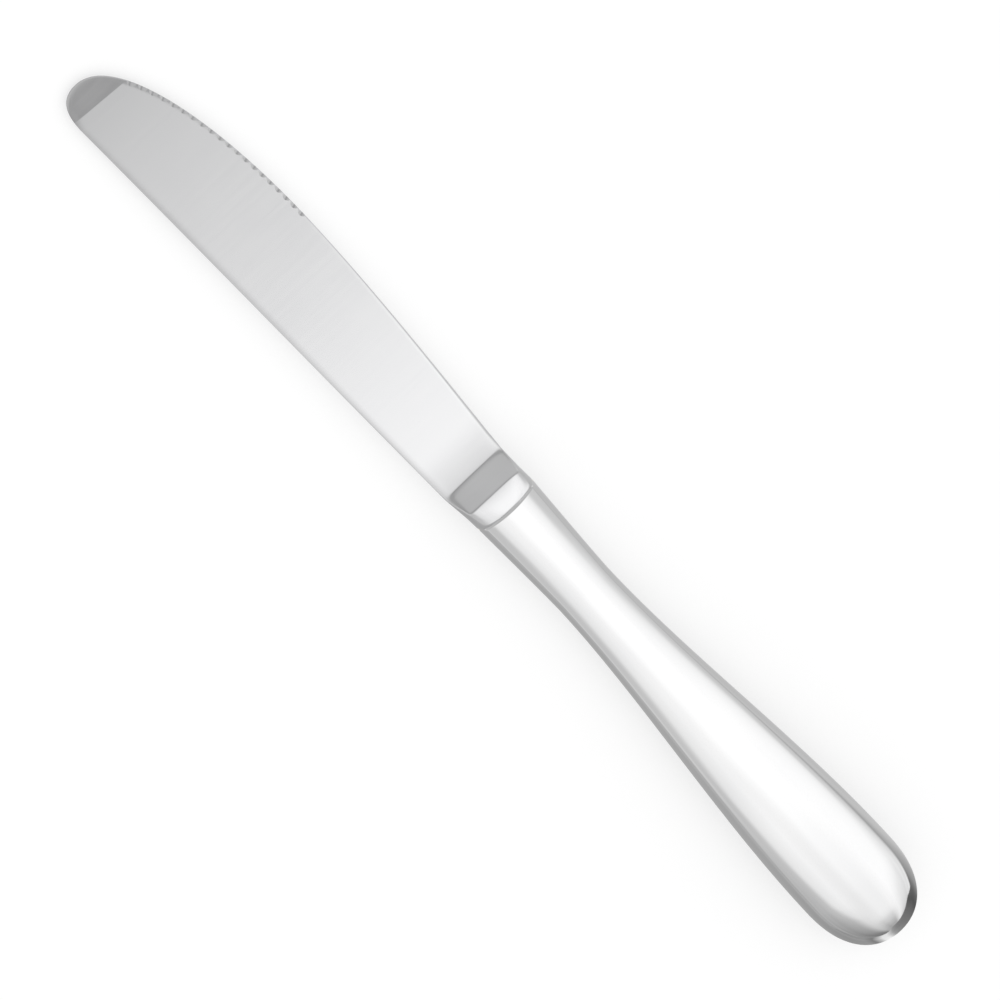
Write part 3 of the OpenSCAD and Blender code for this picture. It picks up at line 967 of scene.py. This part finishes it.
# each wing: the width of its light by place along the knife, the fall of the light over shares
# of that width, and how the light fades along the knife
edgeWing = {
    "spread": [(-0.8, 1.46), (-0.35, 0.74), (-0.2, 0.47), (-0.15, 0.32), (-0.125, 0.285), (-0.105, 0.253),
               (-0.09, 0.216), (-0.075, 0.187), (-0.06, 0.14), (-0.045, 0.117), (-0.03, 0.12), (0.05, 0.12),
               (0.1, 0.2), (0.2, 0.2)],
    "fall": [(0.0, 1.18), (0.1, 1.15), (0.2, 1.13), (0.3, 1.092), (0.4, 1.033), (0.5, 0.956), (0.6, 0.824),
             (0.7, 0.727), (0.8, 0.68), (0.9, 0.655), (1.15, 0.65), (1.6, 0.605), (2.0, 0.57), (3.0, 0.53)],
    "fade": [(-0.7, 0.85), (-0.4, 0.95), (-0.25, 0.98), (-0.14, 1.0), (-0.12, 1.0), (0.0, 1.0)],
}
spineWing = {
    "spread": [(-0.8, 0.066), (-0.35, 0.087), (-0.2, 0.08), (-0.155, 0.08), (-0.14, 0.11), (-0.125, 0.165),
               (-0.105, 0.197), (-0.09, 0.176), (-0.075, 0.16), (-0.06, 0.15), (-0.045, 0.129),
               (-0.03, 0.149), (-0.018, 0.186), (0.0, 0.1), (0.2, 0.1)],
    "fall": [(0.0, 1.18), (0.05, 1.125), (0.1, 1.095), (0.15, 1.052), (0.2, 1.009), (0.25, 0.971),
             (0.3, 0.941), (0.36, 0.919), (0.42, 0.864), (0.5, 0.743), (0.56, 0.689), (0.62, 0.637),
             (0.7, 0.624), (1.0, 0.615), (1.5, 0.61), (2.0, 0.66), (3.0, 0.72), (5.0, 0.8)],
    "fade": [(-0.7, 0.5), (-0.4, 0.6), (-0.3, 0.65), (-0.25, 0.73), (-0.19, 0.86), (-0.15, 0.98),
             (-0.13, 1.0), (0.0, 1.0)],
}


def gradedCurve(tree, value, places):
    # a value looked up in one of the lists above
    first, last = places[0][0], places[-1][0]
    top = studio["curveRoom"] * max(level for _, level in places)
    share = spread(tree, value, 0.0, 1.0, first, last)
    node = addNode(tree, "ShaderNodeFloatCurve", Factor=1.0, Value=share)
    curve = node.mapping.curves[0]
    while len(curve.points) < len(places):
        curve.points.new(0.5, 0.5)
    for point, (x, level) in zip(curve.points, places):
        point.location = ((x - first) / (last - first), level / top)
        point.handle_type = "VECTOR"
    node.mapping.update()
    return sums(tree, "MULTIPLY", node.outputs[0], top)


def addStage(name, corners, faces, material):
    mesh = bpy.data.meshes.new(name)
    mesh.from_pydata(corners, [], faces)
    mesh.materials.append(material)
    card = bpy.data.objects.new(name, mesh)
    bpy.context.scene.collection.objects.link(card)
    return card


def square(size, height):
    half = size / 2
    turns = ((-half, -half), (half, -half), (half, half), (-half, half))
    return [(x, y, height) for x, y in turns], [(0, 1, 2, 3)]


def stageMaterial(name):
    material = bpy.data.materials.new(name)
    material.use_nodes = True
    material.node_tree.nodes.clear()
    return material, material.node_tree


def placeIn(tree):
    coordinates = addNode(tree, "ShaderNodeTexCoord")
    place = addNode(tree, "ShaderNodeSeparateXYZ", Vector=coordinates.outputs["Object"])
    return place.outputs["X"], place.outputs["Y"]


def mirroredOnly(card):
    # a card that the metal mirrors, and that neither shows nor lights anything by itself
    card.visible_camera = False
    card.visible_diffuse = False
    card.visible_shadow = False
    card.visible_transmission = False


def glowing(tree, level):
    glow = addNode(tree, "ShaderNodeEmission", Strength=level)
    addNode(tree, "ShaderNodeOutputMaterial", Surface=glow.outputs[0])


def blendShaders(tree, first, second, share):
    both = addNode(tree, "ShaderNodeMixShader", Fac=share)
    tree.links.new(first.outputs[0], both.inputs[1])
    tree.links.new(second.outputs[0], both.inputs[2])
    addNode(tree, "ShaderNodeOutputMaterial", Surface=both.outputs[0])


def addFloor():
    material, tree = stageMaterial("floorPaper")
    do = sumsIn(tree)
    paper = addNode(tree, "ShaderNodeBsdfDiffuse", Color=(*studio["floorColour"], 1))
    rays = addNode(tree, "ShaderNodeLightPath").outputs
    seen = do.larger(rays["Is Camera Ray"], rays["Is Glossy Ray"])
    seen = do.larger(seen, rays["Is Transmission Ray"])
    glow = addNode(tree, "ShaderNodeEmission", Strength=1.0)
    blendShaders(tree, paper, glow, do.times(seen, studio["floorGlow"]))
    addStage("floor", *square(studio["floorSize"], 0.0), material)


def addCeiling():
    material, tree = stageMaterial("ceilingGlow")
    do = sumsIn(tree)
    x, y = placeIn(tree)
    height = studio["ceilingHeight"]
    slant = do.root(do.plus(do.times(y, y), height * height))
    lengthwise = do.over(do.times(x, height), slant)
    level = do.times(gradedCurve(tree, lengthwise, ceilingAlong), studio["topLevel"])
    level = do.times(level, gradedCurve(tree, y, ceilingAcross))
    beyond = spread(tree, x, 0.0, 1.0, studio["sideFrom"], studio["sideWhole"])
    outward = spread(tree, do.size(y), 0.0, 1.0, studio["sideNear"], studio["sideFar"])
    change = do.times(do.minus(gradedCurve(tree, x, ceilingSides), level), do.times(beyond, outward))
    glowing(tree, do.plus(level, change))
    mirroredOnly(addStage("ceiling", *square(studio["cardSize"], height), material))


def addWing(name, side, wing):
    # a low card beside the knife, clear at its inner edge, where the ceiling shows through
    material, tree = stageMaterial(name + "Glow")
    do = sumsIn(tree)
    x, y = placeIn(tree)
    away = do.size(y)
    share = do.over(away, gradedCurve(tree, x, wing["spread"]))
    level = do.times(gradedCurve(tree, share, wing["fall"]), gradedCurve(tree, x, wing["fade"]))
    # painted shade in the wing's glow beside the butt
    paintedShade = do.times(gradedCurve(tree, x, shadeDipAlong), gradedCurve(tree, away, shadeDipAcross))
    glow = addNode(tree, "ShaderNodeEmission", Strength=do.times(level, do.minus(1.0, paintedShade)))
    clear = addNode(tree, "ShaderNodeBsdfTransparent")
    inner = spread(tree, away, 0.0, 1.0, studio["wingFrom"], studio["wingWhole"])
    ended = spread(tree, x, 1.0, 0.0, studio["wingEnd"], studio["wingClear"])
    blendShaders(tree, clear, glow, do.times(inner, ended))
    half, height = studio["cardSize"] / 2, studio["wingHeight"]
    near, far = side * studio["wingFrom"], side * half
    corners = [(-half, near, height), (half, near, height), (half, far, height), (-half, far, height)]
    mirroredOnly(addStage(name, corners, [(0, 1, 2, 3)], material))


# the painted shade and glint round the butt, shown by the flag and by the card under the knife
def roundTheButt(tree, x, y):
    do = sumsIn(tree)
    return gradedCurve(tree, do.degrees(do.angle(y, do.minus(studio["buttAt"], x))), paintedShadeAndGlintRound)


def addPaintedShadeFlag():
    # painted shade: a dark curved card that stands behind the butt and that only the metal mirrors,
    # darkening the butt's rim, with a painted glint on part of it
    material, tree = stageMaterial("paintedShadeFlag")
    glowing(tree, roundTheButt(tree, *placeIn(tree)))
    corners, faces = [], []
    first, last = flagHeights[0][0], flagHeights[-1][0]
    for i in range(studio["flagSteps"] + 1):
        angle = mix(first, last, i / studio["flagSteps"])
        before = [place for place in flagHeights if place[0] <= angle][-1]
        after = [place for place in flagHeights if place[0] >= angle][0]
        share = (angle - before[0]) / max(after[0] - before[0], 1)
        turn = math.radians(angle)
        x = studio["buttAt"] - studio["flagReach"] * math.cos(turn)
        y = studio["flagReach"] * math.sin(turn)
        top = studio["flagFoot"] + studio["flagRim"] + mix(before[1], after[1], share)
        corners += [(x, y, studio["flagFoot"]), (x, y, top)]
        faces += [(2 * i - 2, 2 * i, 2 * i + 1, 2 * i - 1)] if i else []
    mirroredOnly(addStage("flag", corners, faces, material))


def addWalls():
    material, tree = stageMaterial("wallGrey")
    glowing(tree, gradedCurve(tree, placeIn(tree)[0], wallAlong))
    half, corners, faces = studio["cardSize"] / 2, [], []
    for i, (x, y) in enumerate(((-half, -half), (half, -half), (half, half), (-half, half))):
        corners += [(x, y, 0.0), (x, y, studio["ceilingHeight"])]
        j = (i + 1) % 4
        faces.append((2 * i, 2 * j, 2 * j + 1, 2 * i + 1))
    mirroredOnly(addStage("walls", corners, faces, material))


# painted shade: a grey glowing card under the knife that only the metal mirrors, standing for the floor
# darkened by the knife's shade, with a painted glint near the butt
def addMirroredShade():
    material, tree = stageMaterial("mirroredShadeGlow")
    do = sumsIn(tree)
    x, y = placeIn(tree)
    gain = do.times(gradedCurve(tree, y, shadeGainAcross), gradedCurve(tree, x, shadeGainAlong))
    glowing(tree, do.times(roundTheButt(tree, x, y), gain))
    mirroredOnly(addStage("table", *square(studio["cardSize"], studio["shadeCardLift"]), material))


def lightWorld():
    world = bpy.data.worlds.new("studioSky")
    bpy.context.scene.world = world
    world.use_nodes = True
    sky = world.node_tree.nodes["Background"]
    sky.inputs["Color"].default_value = (1, 1, 1, 1)
    sky.inputs["Strength"].default_value = studio["skyLevel"]


view = {
    "tilt": 23.3,  # the camera leans from straight above towards the tip
    "turn": 132.8,  # and the knife lies slantwise in its picture
    "distance": 1.3,
    "lens": 253.45,
    "sensor": 36.0,
    "aim": (0.0036, 0.00018, 0.005),
}


def addCamera():
    tilt, turn = math.radians(view["tilt"]), math.radians(view["turn"])
    back = Vector((math.sin(tilt), 0, math.cos(tilt)))
    level = Vector((math.cos(tilt), 0, -math.sin(tilt)))
    right = math.cos(turn) * level - math.sin(turn) * Vector((0, 1, 0))
    up = math.sin(turn) * level + math.cos(turn) * Vector((0, 1, 0))
    lens = bpy.data.cameras.new("camera")
    lens.lens = view["lens"]
    lens.sensor_width = view["sensor"]
    camera = bpy.data.objects.new("camera", lens)
    bpy.context.scene.collection.objects.link(camera)
    turned = Matrix((right, up, back)).transposed().to_4x4()
    camera.matrix_world = Matrix.Translation(Vector(view["aim"]) + back * view["distance"]) @ turned
    bpy.context.scene.camera = camera


addFloor()
addCeiling()
addWing("edgeWing", -1, edgeWing)
addWing("spineWing", 1, spineWing)
addPaintedShadeFlag()
addWalls()
addMirroredShade()
lightWorld()
addCamera()
bpy.context.scene.view_settings.view_transform = "Standard"
print("studio made")
